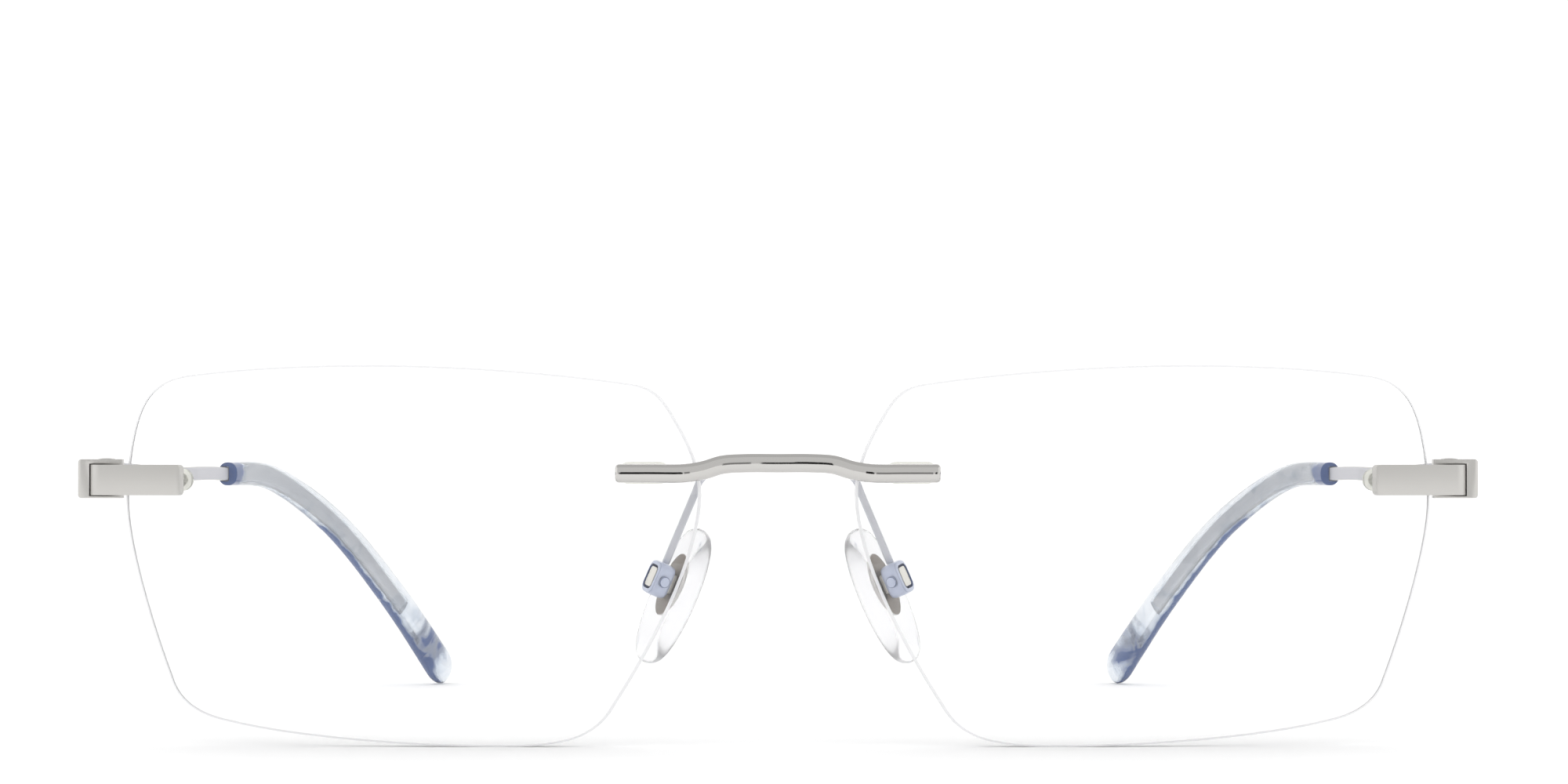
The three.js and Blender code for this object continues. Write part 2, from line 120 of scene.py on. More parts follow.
class EyeglassColours(bpy.types.PropertyGroup):
    """Colours of the finishes."""

    # Navy is also the painted shade inside the pad boxes' windows and on the broken edges of the pad boxes
    # and pad pins.
    navy: FloatVectorProperty(
        name="Navy",
        description="Streaks of the acetate, and the edges and insides of the pad boxes",
        subtype="COLOR",
        size=4,
        default=(0.03, 0.07, 0.21, 1),
    )
    polished: FloatVectorProperty(
        name="Polished metal",
        description="Bridge, hinges, screws, pad inserts and the edges of lugs and endpieces",
        subtype="COLOR",
        size=4,
        default=(0.6, 0.588, 0.57, 1),
    )
    satin: FloatVectorProperty(
        name="Satin metal",
        description="Lugs, endpieces and temples",
        subtype="COLOR",
        size=4,
        default=(0.6, 0.588, 0.565, 1),
    )
    lacquer: FloatVectorProperty(
        name="Lacquer",
        description="Nose pad arms",
        subtype="COLOR",
        size=4,
        default=(0.64, 0.65, 0.695, 1),
    )
    tip: FloatVectorProperty(
        name="Tip tint",
        description="What the acetate of the temple tips lets through",
        subtype="COLOR",
        size=4,
        default=(0.5, 0.58, 0.7, 1),
    )


def sizes():
    return bpy.context.scene.eyeglass_sizes


def colours():
    return bpy.context.scene.eyeglass_colours


# ---- Materials ----------------------------------------------------------------------
def new_material(name, **sockets):
    material = bpy.data.materials.new(name)
    material.use_nodes = True
    shader = material.node_tree.nodes["Principled BSDF"]
    for socket, value in sockets.items():
        shader.inputs[socket.replace("_", " ")].default_value = value
    return material, shader


def noise_on(material, scale, detail, distortion=0):
    """Noise laid on the object's own coordinates."""
    nodes = material.node_tree.nodes
    place = nodes.new("ShaderNodeTexCoord")
    noise = nodes.new("ShaderNodeTexNoise")
    noise.inputs["Scale"].default_value = scale
    noise.inputs["Detail"].default_value = detail
    noise.inputs["Distortion"].default_value = distortion
    material.node_tree.links.new(place.outputs["Object"], noise.inputs["Vector"])
    return noise.outputs["Fac"]


def remapped(material, socket, before, after):
    """The socket's value carried from one range to another."""
    spread = material.node_tree.nodes.new("ShaderNodeMapRange")
    spread.inputs["From Min"].default_value = before[0]
    spread.inputs["From Max"].default_value = before[1]
    spread.inputs["To Min"].default_value = after[0]
    spread.inputs["To Max"].default_value = after[1]
    material.node_tree.links.new(socket, spread.inputs["Value"])
    return spread.outputs["Result"]


def add_grain(material, shader, scale, depth, rough):
    """Fine grain in the surface: a bump, and a roughness that varies with it."""
    links = material.node_tree.links
    noise = noise_on(material, scale, 3)
    bump = material.node_tree.nodes.new("ShaderNodeBump")
    bump.inputs["Strength"].default_value = 1
    bump.inputs["Distance"].default_value = depth
    links.new(noise, bump.inputs["Height"])
    links.new(bump.outputs["Normal"], shader.inputs["Normal"])
    links.new(remapped(material, noise, (0, 1), rough), shader.inputs["Roughness"])


def polished_metal():
    material, shader = new_material(
        "polished_metal", Base_Color=colours().polished, Metallic=1, Roughness=0.1
    )
    add_grain(material, shader, 900, 0.0000012, (0.04, 0.08))
    return material


def satin_metal():
    material, shader = new_material("satin_metal", Base_Color=colours().satin, Metallic=1, Roughness=0.4)
    add_grain(material, shader, 14000, 0.000006, (0.34, 0.5))
    return material


def lacquered_metal():
    material, shader = new_material(
        "lacquered_metal",
        Base_Color=colours().lacquer,
        Metallic=0.35,
        Roughness=0.34,
        Coat_Weight=0.5,
        Coat_Roughness=0.12,
    )
    add_grain(material, shader, 5000, 0.000003, (0.28, 0.4))
    return material


def strap_lacquer():
    material, shader = new_material(
        "strap_lacquer",
        Base_Color=(0.53, 0.53, 0.56, 1),
        Metallic=0.1,
        Roughness=0.6,
        Specular_IOR_Level=0.15,
    )
    add_grain(material, shader, 5000, 0.000003, (0.55, 0.7))
    return material


# Painted shade: a dark navy lacquer standing for the shade inside the pad boxes' windows and along the
# broken edges of the pad boxes and pad pins.
def painted_shade_lacquer():
    material, shader = new_material(
        "painted_shade_lacquer",
        Base_Color=colours().navy,
        Metallic=0.3,
        Roughness=0.3,
        Coat_Weight=0.6,
        Coat_Roughness=0.1,
    )
    add_grain(material, shader, 5000, 0.000003, (0.25, 0.4))
    return material


def cream_metal():
    material, shader = new_material(
        "cream_metal", Base_Color=(0.78, 0.76, 0.7, 1), Metallic=0.5, Roughness=0.35
    )
    add_grain(material, shader, 6000, 0.000004, (0.3, 0.45))
    return material


def box_lacquer():
    material, shader = new_material(
        "box_lacquer",
        Base_Color=(0.5, 0.55, 0.7, 1),
        Metallic=0.3,
        Roughness=0.34,
        Coat_Weight=0.5,
        Coat_Roughness=0.12,
    )
    add_grain(material, shader, 5000, 0.000003, (0.28, 0.4))
    return material


def bronze_metal():
    material, shader = new_material(
        "bronze_metal", Base_Color=(0.2, 0.17, 0.14, 1), Metallic=1, Roughness=0.3
    )
    add_grain(material, shader, 6000, 0.000004, (0.25, 0.4))
    return material


def lens_glass():
    return new_material(
        "lens_glass", Base_Color=(1, 1, 1, 1), Roughness=0, IOR=1.5, Transmission_Weight=1
    )[0]


# Painted shade: the rim's grey base colour stands for the darker look of a clear lens edge that refracts
# its surroundings. The roughness frosts the edge.
def lens_rim():
    return new_material(
        "lens_rim", Base_Color=(0.78, 0.78, 0.79, 1), Roughness=0.4, IOR=1.5, Transmission_Weight=0.3
    )[0]


def clear_plastic():
    return new_material(
        "clear_plastic", Base_Color=(0.97, 0.97, 0.9, 1), Roughness=0.3, IOR=1.45, Transmission_Weight=0.8
    )[0]


def pad_plastic():
    return new_material(
        "pad_plastic", Base_Color=(0.95, 0.95, 0.96, 1), Roughness=0.2, IOR=1.19, Transmission_Weight=0.9
    )[0]


def tip_acetate():
    """Pale acetate: the navy attribute makes it dark and less clear, and noise breaks that up."""
    clear = 0.85
    material, shader = new_material("tip_acetate", Roughness=0.06, IOR=1.45, Transmission_Weight=clear)
    nodes = material.node_tree.nodes
    links = material.node_tree.links
    streaks = nodes.new("ShaderNodeAttribute")
    streaks.attribute_name = "navy"
    noise = noise_on(material, 260, 4, 1.2)
    total = nodes.new("ShaderNodeMath")
    total.operation = "ADD"
    links.new(streaks.outputs["Fac"], total.inputs[0])
    links.new(remapped(material, noise, (0.3, 0.7), (-0.35, 0.35)), total.inputs[1])
    navy_from = 0.45
    navy_full = 0.85
    ramp = nodes.new("ShaderNodeValToRGB")
    ramp.color_ramp.elements[0].position = 0.1
    ramp.color_ramp.elements[0].color = (0.9, 0.92, 0.94, 1)
    middle = ramp.color_ramp.elements.new(navy_from)
    middle.color = (0.62, 0.68, 0.76, 1)
    ramp.color_ramp.elements[-1].position = navy_full
    ramp.color_ramp.elements[-1].color = colours().navy
    links.new(total.outputs["Value"], ramp.inputs["Fac"])
    links.new(ramp.outputs["Color"], shader.inputs["Base Color"])
    clearness = remapped(material, total.outputs["Value"], (navy_from, navy_full), (clear, 0.1))
    links.new(clearness, shader.inputs["Transmission Weight"])
    absorb = nodes.new("ShaderNodeVolumeAbsorption")
    absorb.inputs["Color"].default_value = colours().tip
    absorb.inputs["Density"].default_value = 100
    links.new(absorb.outputs["Volume"], nodes["Material Output"].inputs["Volume"])
    return material


FINISHES = {
    "polished": polished_metal,
    "satin": satin_metal,
    "lacquer": lacquered_metal,
    "strap": strap_lacquer,
    "painted_shade": painted_shade_lacquer,
    "cream": cream_metal,
    "box": box_lacquer,
    "bronze": bronze_metal,
    "lens": lens_glass,
    "rim": lens_rim,
    "clear": clear_plastic,
    "pad": pad_plastic,
    "tip": tip_acetate,
}
made_finishes = {}


def finish(name):
    if name not in made_finishes:
        made_finishes[name] = FINISHES[name]()
    return made_finishes[name]


# ---- Shape helpers ------------------------------------------------------------------
class Path:
    """A smooth line through its points, read by the share of its length."""

    STEPS = 60

    def __init__(self, points):
        points = [Vector(p) for p in points]
        ghosts = [2 * points[0] - points[1], *points, 2 * points[-1] - points[-2]]
        self.line = [points[0]]
        for before, start, end, after in zip(ghosts, ghosts[1:], ghosts[2:], ghosts[3:]):
            self.line += self.stretch(before, start, end, after)
        self.lengths = [0.0]
        for a, b in zip(self.line, self.line[1:]):
            self.lengths.append(self.lengths[-1] + (b - a).length)

    def stretch(self, before, start, end, after):
        pairs = ((before, start), (start, end), (end, after))
        gap0, gap1, gap2 = (math.sqrt((q - p).length) for p, q in pairs)
        leave = (start - before) / gap0 - (end - before) / (gap0 + gap1) + (end - start) / gap1
        arrive = (end - start) / gap1 - (after - start) / (gap1 + gap2) + (after - end) / gap2
        handle1 = start + leave * gap1 / 3
        handle2 = end - arrive * gap1 / 3
        return interpolate_bezier(start, handle1, handle2, end, self.STEPS)[1:]

    def point(self, share):
        goal = share * self.lengths[-1]
        last = len(self.line) - 2
        i = next((k for k in range(last) if self.lengths[k + 1] >= goal), last)
        part = (goal - self.lengths[i]) / (self.lengths[i + 1] - self.lengths[i])
        return self.line[i].lerp(self.line[i + 1], part)

    def tangent(self, share):
        step = 0.0015
        return (self.point(min(1, share + step)) - self.point(max(0, share - step))).normalized()


def oval(width, height, count=32, power=2.0):
    """A ring of points on an oval, squarer as power grows."""
    ring = []
    for i in range(count):
        angle = 2 * math.pi * (i + 0.5) / count
        x = math.copysign(abs(math.cos(angle)) ** (2 / power), math.cos(angle))
        y = math.copysign(abs(math.sin(angle)) ** (2 / power), math.sin(angle))
        ring.append((x * width / 2, y * height / 2))
    return ring


def rounded(width, height, radii, steps=5):
    """A ring round a rectangle, with the radii of its corners from +x+y counter-clockwise."""
    ring = []
    corners = ((1, 1), (-1, 1), (-1, -1), (1, -1))
    for (sx, sy), start, radius in zip(corners, (0, 90, 180, 270), radii):
        cx, cy = sx * (width / 2 - radius), sy * (height / 2 - radius)
        for k in range(steps + 1):
            angle = math.radians(start + 90 * k / steps)
            ring.append((cx + radius * math.cos(angle), cy + radius * math.sin(angle)))
    return ring


def ring_on(path, share, section, hint=Vector((0, 0, 1))):
    """The section's ring laid square to the path; its x follows hint."""
    tangent = path.tangent(share)
    across = (hint - hint.dot(tangent) * tangent).normalized()
    beside = tangent.cross(across)
    middle = path.point(share)
    return [middle + across * x + beside * y for x, y in section]


def blunt_rings(path, section, count, radius, size):
    """Rings of one section along the whole path, drawn in round at its two ends."""
    total = path.lengths[-1]
    steps = 6
    ends = []
    for k in range(steps):
        angle = math.pi / 2 * k / steps
        ends.append((radius * (1 - math.cos(angle)) / total, radius * (1 - math.sin(angle))))
    start = radius / total
    body = [(start + (1 - 2 * start) * k / count, 0) for k in range(count + 1)]
    far_ends = [(1 - share, inset) for share, inset in reversed(ends)]
    rings = []
    for share, inset in ends + body + far_ends:
        across, beside = ((length - 2 * inset) / length for length in size)
        rings.append(ring_on(path, share, [(x * across, y * beside) for x, y in section]))
    return rings


def skin(rings, cap_start=True, cap_end=True):
    """A surface through rings of points, made by extruding the first ring from one to the next."""
    bm = bmesh.new()
    verts = [bm.verts.new(p) for p in rings[0]]
    edges = [bm.edges.new((a, b)) for a, b in zip(verts, verts[1:] + verts[:1])]
    if cap_start:
        bmesh.ops.contextual_create(bm, geom=edges)
    for ring in rings[1:]:
        made = bmesh.ops.extrude_edge_only(bm, edges=edges)["geom"]
        partner = {}
        edges = [g for g in made if isinstance(g, bmesh.types.BMEdge)]
        fresh = {g for g in made if isinstance(g, bmesh.types.BMVert)}
        for v in verts:
            partner[v] = next(e.other_vert(v) for e in v.link_edges if e.other_vert(v) in fresh)
        verts = [partner[v] for v in verts]
        for v, p in zip(verts, ring):
            v.co = p
    if cap_end:
        bmesh.ops.contextual_create(bm, geom=edges)
    bmesh.ops.recalc_face_normals(bm, faces=bm.faces[:])
    return bm


def node_mesh(node):
    """A merged copy of a design node's mesh, with its flat faces whole again."""
    bm = bmesh.new()
    bm.from_mesh(frame["nodes"][node].data)
    bmesh.ops.remove_doubles(bm, verts=bm.verts[:], dist=0.002 * MM)
    bmesh.ops.dissolve_degenerate(bm, edges=bm.edges[:], dist=0.001 * MM)
    bmesh.ops.dissolve_limit(bm, angle_limit=math.radians(1), verts=bm.verts[:], edges=bm.edges[:])
    return bm


def sharp_edges(bm, degrees):
    limit = math.radians(degrees)
    return [e for e in bm.edges if len(e.link_faces) == 2 and e.calc_face_angle(0) > limit]


def bevel(bm, edges, width, segments=2):
    return bmesh.ops.bevel(
        bm,
        geom=edges,
        offset=width,
        offset_type="OFFSET",
        segments=segments,
        profile=0.5,
        affect="EDGES",
        clamp_overlap=True,
        material=-1,
    )["faces"]


def piece(name, bm, finishes, body, nodes, side=1, smooth=35, mirrored=True):
    """Makes the object of a finished piece, on its body, in the place of its design nodes."""
    if side < 0 and mirrored:
        bmesh.ops.scale(bm, vec=(-1, 1, 1), verts=bm.verts[:])
        bmesh.ops.reverse_faces(bm, faces=bm.faces[:])
    mesh = bpy.data.meshes.new(name)
    for face in bm.faces:
        face.smooth = True
    bm.to_mesh(mesh)
    bm.free()
    mesh.set_sharp_from_angle(angle=math.radians(smooth))
    for each in finishes:
        mesh.materials.append(finish(each))
    made = bpy.data.objects.new(name, mesh)
    bpy.context.scene.collection.objects.link(made)
    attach(made, body)
    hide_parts(*nodes)
    return made


def spot(x, y, z):
    """A place in millimetres, its depth counted back from the lens fronts."""
    return Vector((x * MM, FRONT_Y + y * MM, z * MM))


def lens_front(x, z):
    """Depth of the lens front, at a place to the right of the middle."""
    across = x - LENS_CENTRE.x
    height = z - LENS_CENTRE.z
    sag = (across**2 + height**2) / (2 * BASE_CURVE)
    return FRONT_Y + across * math.sin(WRAP) + sag * math.cos(WRAP)


# ---- Lens ---------------------------------------------------------------------------
def lens_outline(steps):
    points = []
    corners = LENS_OUTLINE
    for (_, start, leave), (arrive, end, _) in zip(corners, corners[1:] + corners[:1]):
        stretch = (start, leave, arrive, end)
        handles = [Vector((x * MM - LENS_CENTRE.x, 0, z * MM - LENS_CENTRE.z)) for x, z in stretch]
        points += interpolate_bezier(*handles, steps + 1)[:-1]
    return points


def build_lens(side):
    outline = lens_outline(sizes().outline_steps)
    rings = 22
    shrink = [1 - (k / rings) for k in range(rings)]
    bm = skin([[p * s for p in outline] for s in shrink], cap_start=False)
    for v in bm.verts:
        v.co.y = (v.co.x**2 + v.co.z**2) / (2 * BASE_CURVE)
    made = bmesh.ops.extrude_face_region(bm, geom=bm.faces[:], use_keep_orig=True)["geom"]
    back = [g for g in made if isinstance(g, bmesh.types.BMVert)]
    bmesh.ops.translate(bm, vec=(0, sizes().lens_thickness, 0), verts=back)
    bmesh.ops.recalc_face_normals(bm, faces=bm.faces[:])
    bevel(bm, sharp_edges(bm, 60), sizes().rim_bevel, 1)
    # The rim faces take the rim finish, whose grey is painted shade.
    for face in bm.faces:
        on_rim = abs(face.normal.y) < 0.85
        face.material_index = 1 if on_rim else 0
    turned = Matrix.Translation(LENS_CENTRE) @ Matrix.Rotation(WRAP, 4, "Z")
    bmesh.ops.transform(bm, matrix=turned, verts=bm.verts[:])
    name = f"lens_{side}"
    piece(f"finished_{name}", bm, ["lens", "rim"], "front", [name], SIDES[side], smooth=25)


# ---- Bridge -------------------------------------------------------------------------
def bar_section(height, thickness):
    """A bulging front and a flatter back, as the points of a ring; x is up and y is forward."""
    half = oval(height, thickness, 40, 2.4)
    flat = oval(height, thickness, 40, 6)
    return [bulged if bulged[1] > 0 else square for bulged, square in zip(half, flat)]


BRIDGE_LEVEL = 27.1 * MM
# The right half of the bridge's middle line: its arch, then how far right its arm reaches along the
# lens and how much above the bridge's level it lies.
BRIDGE_TOP = (0, -0.78, 28.1)
BRIDGE_ARCH = ((3.2, -0.72, 28.1), (5.5, -0.42, 27.95), (7.3, 0.02, 27.42))
BRIDGE_ARM = ((9.2, 0.02), (12.6, 0), (16.1, 0))


def build_bridge():
    height = sizes().bar_height
    thickness = sizes().bar_thickness
    before_lens = SEAT + thickness / 2
    half = [spot(*point) for point in BRIDGE_ARCH]
    for reach, lift in BRIDGE_ARM:
        x = reach * MM
        half.append(Vector((x, lens_front(x, BRIDGE_LEVEL) - before_lens, BRIDGE_LEVEL + lift * MM)))
    path = Path([(-x, y, z) for x, y, z in reversed(half)] + [spot(*BRIDGE_TOP)] + half)
    end_radius = 0.42 * MM
    bm = skin(blunt_rings(path, bar_section(height, thickness), 90, end_radius, (height, thickness)))
    piece("finished_bridge", bm, ["polished"], "front", ["bridge"], smooth=50)


# ---- Temples ------------------------------------------------------------------------
TEMPLE_LINE = (
    (69.5, 9.2, 26.55),
    (67.4, 47, 26.6),
    (65.3, 84.5, 26.7),
    (61, 98, 26),
    (55, 108, 20.7),
    (49, 118.5, 12),
    (42.7, 130.6, 0.65),
)
TAPER_END = 0.34  # the share of the temple at which the strap has come down to its tail's size
SLEEVE_START = 0.567
CORE_END = 0.89
SLEEVE_SHIFT = 0.18  # towards the head, as a share of the sleeve's thickness
TIP_RING = 40


def temple_path():
    return Path([spot(*point) for point in TEMPLE_LINE])


def blended(a, b, share):
    return a + (b - a) * min(1, max(0, share))


def strap_size(share):
    """Height and thickness of the strap."""
    taper = share / TAPER_END
    return blended(3.9, 1.55, taper) * MM, blended(1.2, 0.9, taper) * MM


def strap_section(share):
    height, thickness = strap_size(share)
    return rounded(height, thickness, (0.22 * MM,) * 4, 4)


def build_temple(side):
    path = temple_path()
    count = 110
    shares = [CORE_END * k / count for k in range(count + 1)]
    bm = skin([ring_on(path, share, strap_section(share)) for share in shares])
    ends = [e for f in bm.faces if len(f.verts) > 8 for e in f.edges]
    bevel(bm, ends, 0.1 * MM, 2)
    for face in bm.faces:
        towards_head = face.normal.x < -0.6
        face.material_index = 1 if towards_head else 0
    name = f"temple_{side}"
    body = f"temple_arm_{side}"
    piece(f"finished_{name}", bm, ["satin", "strap"], body, [name], SIDES[side])


def along_sleeve(share):
    """The share of the sleeve's own length."""
    return (share - SLEEVE_START) / (1 - SLEEVE_START)


def sleeve_section(share):
    along = along_sleeve(share)
    swell = 0.3
    if along < swell:
        height = blended(2.7, 3.1, along / swell)
    else:
        height = blended(3.1, 4.4, (along - swell) / 0.65)
    cap = 0.055
    left = 1 - along
    end = 1 if left > cap else max(0.02, math.sqrt(1 - (1 - left / cap) ** 2))
    thickness = blended(2.3, 2.7, along) * MM * end
    ring = oval(height * MM * end, thickness, TIP_RING, 2.3)
    return [(x, y - SLEEVE_SHIFT * thickness) for x, y in ring]


def navy_at(share, angle, outside):
    """How navy the acetate is: a band at the mouth, a line underneath, and a blotch at the end."""
    along = along_sleeve(share)
    band = 1.6 - along / 0.045
    under = math.exp(-(((angle - math.pi) / 0.5) ** 2)) * blended(0.4, 1.15, (along - 0.2) / 0.3)
    blotch = 0.85 * math.exp(-(((along - 0.89) / 0.07) ** 2))
    return max(0, band, under if outside else 0, blotch if outside else 0)


def pocket_section(share):
    """The hollow of the sleeve, with a little room round the strap."""
    room = 0.1 * MM
    height, thickness = strap_size(share)
    return oval(height + 2 * room, thickness + 2 * room, TIP_RING, 8)


def build_tip(side):
    path = temple_path()
    span = 1 - SLEEVE_START
    count = 70
    even = 0.4
    outer_shares = []
    for k in range(count + 1):
        eased = even * k / count + (1 - even) * math.sin(math.pi / 2 * k / count)
        outer_shares.append(SLEEVE_START + span * eased)
    outer_shares.reverse()
    pocket_count = 40
    pocket_depth = CORE_END + 0.003 - SLEEVE_START
    pocket_shares = [SLEEVE_START + pocket_depth * k / pocket_count for k in range(pocket_count + 1)]
    outer = [ring_on(path, share, sleeve_section(share)) for share in outer_shares]
    lip = ring_on(path, SLEEVE_START, [(x * 0.96, y * 0.94) for x, y in sleeve_section(SLEEVE_START)])
    pocket = [ring_on(path, share, pocket_section(share)) for share in pocket_shares]
    bm = skin([*outer, lip, *pocket])
    navy = bm.verts.layers.float.new("navy")
    shares = [*outer_shares, SLEEVE_START, *pocket_shares]
    bm.verts.ensure_lookup_table()
    for i, v in enumerate(bm.verts):
        ring, step = divmod(i, TIP_RING)
        angle = 2 * math.pi * (step + 0.5) / TIP_RING
        v[navy] = navy_at(shares[ring], angle, ring <= count)
    name = f"temple_tip_{side}"
    body = f"temple_arm_{side}"
    piece(f"finished_{name}", bm, ["tip"], body, [name], SIDES[side], smooth=60)


# ---- Nose pads ----------------------------------------------------------------------
def pad_place():
    tall = Vector((-math.sin(PAD_TILT), 0, math.cos(PAD_TILT)))
    wide = PAD_AXIS.normalized()
    outward = wide.cross(tall)
    place = Matrix((wide, tall, outward)).transposed().to_4x4()
    place.translation = PAD_CENTRE
    return place


def build_nose_pad(side):
    width = 7.5 * MM
    height = 14.6 * MM
    thickness = 2.6 * MM
    edge = 1.2 * MM
    levels = 9
    rings = []
    for k in range(levels + 1):
        angle = -math.pi / 2 + math.pi * k / levels
        inset = edge * (1 - math.cos(angle))
        depth = thickness / 2 * math.sin(angle)
        level = oval(width - 2 * inset, height - 2 * inset, 64)
        rings.append([Vector((x, y, depth)) for x, y in level])
    crown = 0.2 * MM
    for shrink in (0.8, 0.55, 0.3, 0.1):
        rings.insert(0, [Vector((p.x * shrink, p.y * shrink, p.z)) for p in rings[0]])
    bm = skin(rings)
    for v in bm.verts:
        reach = min(1, math.hypot(v.co.x / (width / 2), v.co.y / (height / 2)))
        v.co.z += crown * reach**2 - crown / 2
    bmesh.ops.transform(bm, matrix=pad_place(), verts=bm.verts[:])
    name = f"nose_pad_{side}"
    piece(f"finished_{name}", bm, ["pad"], f"pad_{side}", [name], SIDES[side], smooth=60)


PAD_ARM_ELBOW = (8.45, 5.2, 24.9)
PAD_ARM_ROOT = ((6.65, 0.9, 27.4), (6.75, 2.6, 27.3), (7.2, 3.9, 27), (7.9, 4.75, 26.2))


def build_pad_arm(side):
    above_boss = BOSS_UP + BOX_HEIGHT / 2 + BOX_CLEARANCE
    box_top = pad_place() @ Vector((BOSS_SIDEWAYS, above_boss, BOX_OUT))
    elbow = spot(*PAD_ARM_ELBOW)
    path = Path([*(spot(*point) for point in PAD_ARM_ROOT), elbow, box_top.lerp(elbow, 0.5), box_top])
    count = 60
    rings = []
    for k in range(count + 1):
        share = k / count
        width = blended(1.1, 0.75, share * 7) * MM
        depth = blended(1.2, 0.5, share * 7) * MM
        section = rounded(width, depth, (0.14 * MM,) * 4, 3)
        rings.append(ring_on(path, share, section, Vector((1, 0, 0))))
    bm = skin(rings)
    name = f"pad_arm_{side}"
    piece(f"finished_{name}", bm, ["lacquer"], "front", [name], SIDES[side], smooth=40)


# ---- Small hardware -----------------------------------------------------------------
# Per kind: finish of the faces and of the broken edges, body, slot, and width of the broken edges
# in millimetres.
HARDWARE = {
    "lens_lug": ("satin", "polished", "front", "satin_silver", 0.2),
    "endpiece": ("satin", "polished", "front", "satin_silver", 0.2),
    "hinge_front": ("polished", None, "front", "polished_silver", 0.06),
    "hinge_screw": ("polished", None, "front", "polished_silver", 0.03),
    "hinge_rear": ("polished", None, "temple_arm", "polished_silver", 0.06),
    "bridge_bushing": ("clear", None, "front", "bushing_clear", 0.05),
    "endpiece_bushing": ("clear", None, "front", "bushing_clear", 0.05),
    "pad_insert": ("polished", None, "pad", "polished_silver", 0.05),
    # The pad boxes and pad pins take painted shade, in navy, on their broken edges.
    "pad_box": ("box", "painted_shade", "front", "lavender_lacquer", 0.12),
    "pad_pin": ("box", "painted_shade", "front", "polished_silver", 0.05),
}


def build_hardware(kind, side):
    face_finish, edge_finish, body, slot, width = HARDWARE[kind]
    node = f"{kind}_{side}"
    bm = node_mesh(node)
    broken = bevel(bm, sharp_edges(bm, 40), width * MM)
    finishes = [face_finish]
    if edge_finish:
        finishes.append(edge_finish)
        for face in broken:
            face.material_index = 1
    # Painted shade: the faces that face into the pad box, inside its window, take the navy lacquer standing
    # for the shade in that recess.
    if kind == "pad_box":
        centre = sum((v.co for v in bm.verts), Vector()) / len(bm.verts)
        for face in bm.faces:
            inward = centre - face.calc_center_median()
            faces_inward = face.normal.dot(inward) > 0.15 * MM
            if faces_inward:
                face.material_index = 1
    if kind == "pad_insert":
        finishes += ["cream", "bronze"]
        place = Matrix.Scale(SIDES[side], 4, (1, 0, 0)) @ pad_place()
        back = place.inverted()
        outward = (place.to_3x3() @ Vector((0, 0, 1))).normalized()
        for face in bm.faces:
            on_boss_end = (back @ face.calc_center_median()).z > 1.2 * MM
            if on_boss_end:
                face.material_index = 1
            elif face.normal.dot(outward) > 0.5:
                face.material_index = 2
    body_name = body if body == "front" else f"{body}_{side}"
    piece(f"finished_{node}", bm, finishes, body_name, [node], mirrored=False, smooth=35)


# ---- Stage --------------------------------------------------------------------------
def stage_plane(name, centre, size, turn, colour, glows):
    bm = bmesh.new()
    bmesh.ops.create_grid(bm, x_segments=1, y_segments=1, size=0.5)
    bmesh.ops.scale(bm, vec=(size[0], size[1], 1), verts=bm.verts[:])
    place = Matrix.Translation(centre) @ Matrix.Rotation(math.radians(turn), 4, "X")
    bmesh.ops.transform(bm, matrix=place, verts=bm.verts[:])
    mesh = bpy.data.meshes.new(name)
    bm.to_mesh(mesh)
    bm.free()
    if glows:
        sockets = {"Base_Color": (0, 0, 0, 1), "Specular_IOR_Level": 0}
        sockets |= {"Emission_Color": (*colour, 1), "Emission_Strength": 1}
    else:
        sockets = {"Base_Color": (*colour, 1), "Roughness": 0.8}
    mesh.materials.append(new_material(name, **sockets)[0])
    made = bpy.data.objects.new(name, mesh)
    bpy.context.scene.collection.objects.link(made)
    return made


def reflection_only(card):
    """The card shows in reflections, and nowhere else."""
    card.visible_camera = False
    card.visible_diffuse = False
    card.visible_transmission = False
    card.visible_shadow = False


CARD_Y = FRONT_Y - 0.5
CARD_Z = 0.0253
# Cards that show only in reflections: name, centre, size, turn from lying flat, and brightness.
CARDS = (
    ("front_card", (0, FRONT_Y - 0.95, 0.5), (2.8, 1.1), 90, 0.82),
    ("top_card", (0, 0, 1), (2.8, 2.2), 0, 0.68),
    ("dark_card", (0, CARD_Y, CARD_Z), (0.03, 0.05), 90, 0.02),
    ("dark_right_card", (0.1075, CARD_Y, CARD_Z), (0.185, 0.08), 90, 0.02),
    ("dim_left_card", (-0.125, CARD_Y, CARD_Z), (0.15, 0.06), 90, 0.3),
)
VIEW_DISTANCE = 0.45
VIEW_SIDEWAYS = 0.6 * MM
VIEW_HEIGHT = 28.7 * MM
VIEW_TURN = math.radians(90.82)


def build_stage():
    scene = bpy.context.scene
    scene.view_settings.view_transform = "Standard"
    world = bpy.data.worlds.new("studio")
    world.use_nodes = True
    background = world.node_tree.nodes["Background"]
    background.inputs["Color"].default_value = (1, 1, 1, 1)
    background.inputs["Strength"].default_value = 1.2
    scene.world = world
    stage_plane("floor", (0, 0, 0), (6, 6), 0, (0.95, 0.95, 0.95), glows=False)
    camera = bpy.data.cameras.new("camera")
    camera.lens = 104.5
    camera.sensor_width = 36
    camera.clip_start = 0.01
    camera.clip_end = 20
    viewer = bpy.data.objects.new("camera", camera)
    viewer.location = (VIEW_SIDEWAYS, FRONT_Y - VIEW_DISTANCE, VIEW_HEIGHT)
    viewer.rotation_euler = (VIEW_TURN, 0, 0)
    scene.collection.objects.link(viewer)
    scene.camera = viewer
    for name, centre, size, turn, shade in CARDS:
        reflection_only(stage_plane(name, centre, size, turn, (shade,) * 3, glows=True))


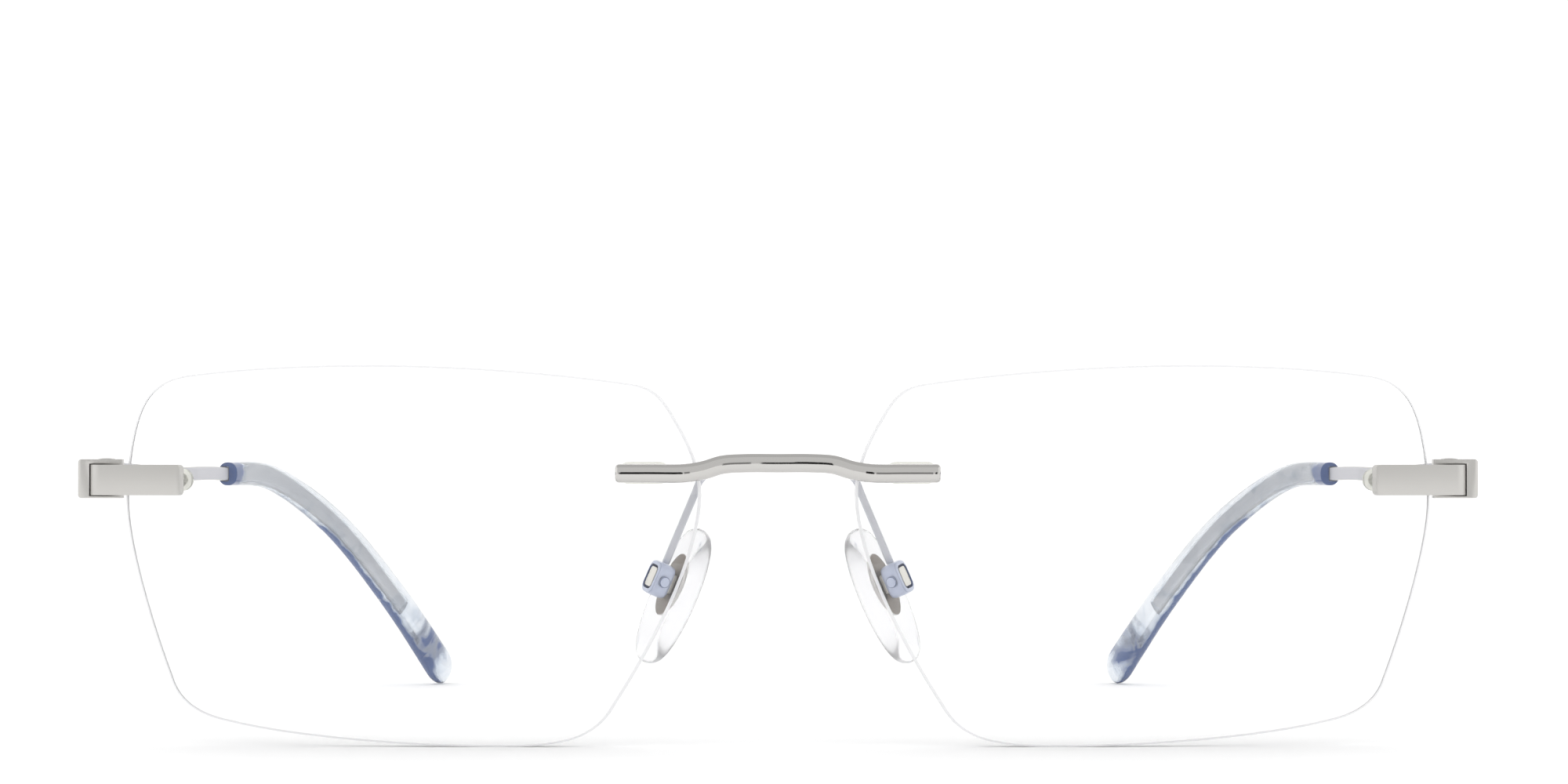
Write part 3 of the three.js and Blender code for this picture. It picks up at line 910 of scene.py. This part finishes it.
# ---- Operators ----------------------------------------------------------------------
class BuildLenses(bpy.types.Operator):
    """Two curved lenses with polished, bevelled rims whose grey is painted shade"""

    bl_idname = "eyeglasses.lenses"
    bl_label = "Lenses"

    def execute(self, context):
        for side in SIDES:
            build_lens(side)
        return {"FINISHED"}


class BuildBridge(bpy.types.Operator):
    """The polished bridge bar"""

    bl_idname = "eyeglasses.bridge"
    bl_label = "Bridge"

    def execute(self, context):
        build_bridge()
        return {"FINISHED"}


class BuildTemples(bpy.types.Operator):
    """The temple straps and their translucent tips"""

    bl_idname = "eyeglasses.temples"
    bl_label = "Temples"

    def execute(self, context):
        for side in SIDES:
            build_temple(side)
            build_tip(side)
        return {"FINISHED"}


class BuildNosePads(bpy.types.Operator):
    """The soft nose pads and the arms that carry them"""

    bl_idname = "eyeglasses.nose_pads"
    bl_label = "Nose Pads"

    def execute(self, context):
        for side in SIDES:
            build_nose_pad(side)
            build_pad_arm(side)
        return {"FINISHED"}


class BuildHardware(bpy.types.Operator):
    """Lugs, endpieces, hinges, screws, bushings and pad boxes"""

    bl_idname = "eyeglasses.hardware"
    bl_label = "Hardware"

    def execute(self, context):
        for side in SIDES:
            for kind in HARDWARE:
                build_hardware(kind, side)
        return {"FINISHED"}


class BuildStage(bpy.types.Operator):
    """Floor, light and camera"""

    bl_idname = "eyeglasses.stage"
    bl_label = "Stage"

    def execute(self, context):
        build_stage()
        return {"FINISHED"}


OPERATORS = (BuildLenses, BuildBridge, BuildTemples, BuildNosePads, BuildHardware, BuildStage)


class EyeglassesPanel(bpy.types.Panel):
    """Lists the builders and their settings"""

    bl_idname = "VIEW3D_PT_eyeglasses"
    bl_label = "Rimless Eyeglasses"
    bl_space_type = "VIEW_3D"
    bl_region_type = "UI"
    bl_category = "Eyeglasses"

    def draw(self, context):
        for group in (context.scene.eyeglass_sizes, context.scene.eyeglass_colours):
            for name in group.bl_rna.properties.keys():
                if name not in {"rna_type", "name"}:
                    self.layout.prop(group, name)
        for operator in OPERATORS:
            self.layout.operator(operator.bl_idname)


CLASSES = (EyeglassSizes, EyeglassColours, *OPERATORS, EyeglassesPanel)


def register():
    for each in CLASSES:
        bpy.utils.register_class(each)
    bpy.types.Scene.eyeglass_sizes = PointerProperty(type=EyeglassSizes)
    bpy.types.Scene.eyeglass_colours = PointerProperty(type=EyeglassColours)


def unregister():
    del bpy.types.Scene.eyeglass_sizes
    del bpy.types.Scene.eyeglass_colours
    for each in reversed(CLASSES):
        bpy.utils.unregister_class(each)


def main():
    register()
    bpy.ops.eyeglasses.stage()
    bpy.ops.eyeglasses.lenses()
    bpy.ops.eyeglasses.bridge()
    bpy.ops.eyeglasses.temples()
    bpy.ops.eyeglasses.nose_pads()
    bpy.ops.eyeglasses.hardware()


if __name__ == "__main__":
    main()
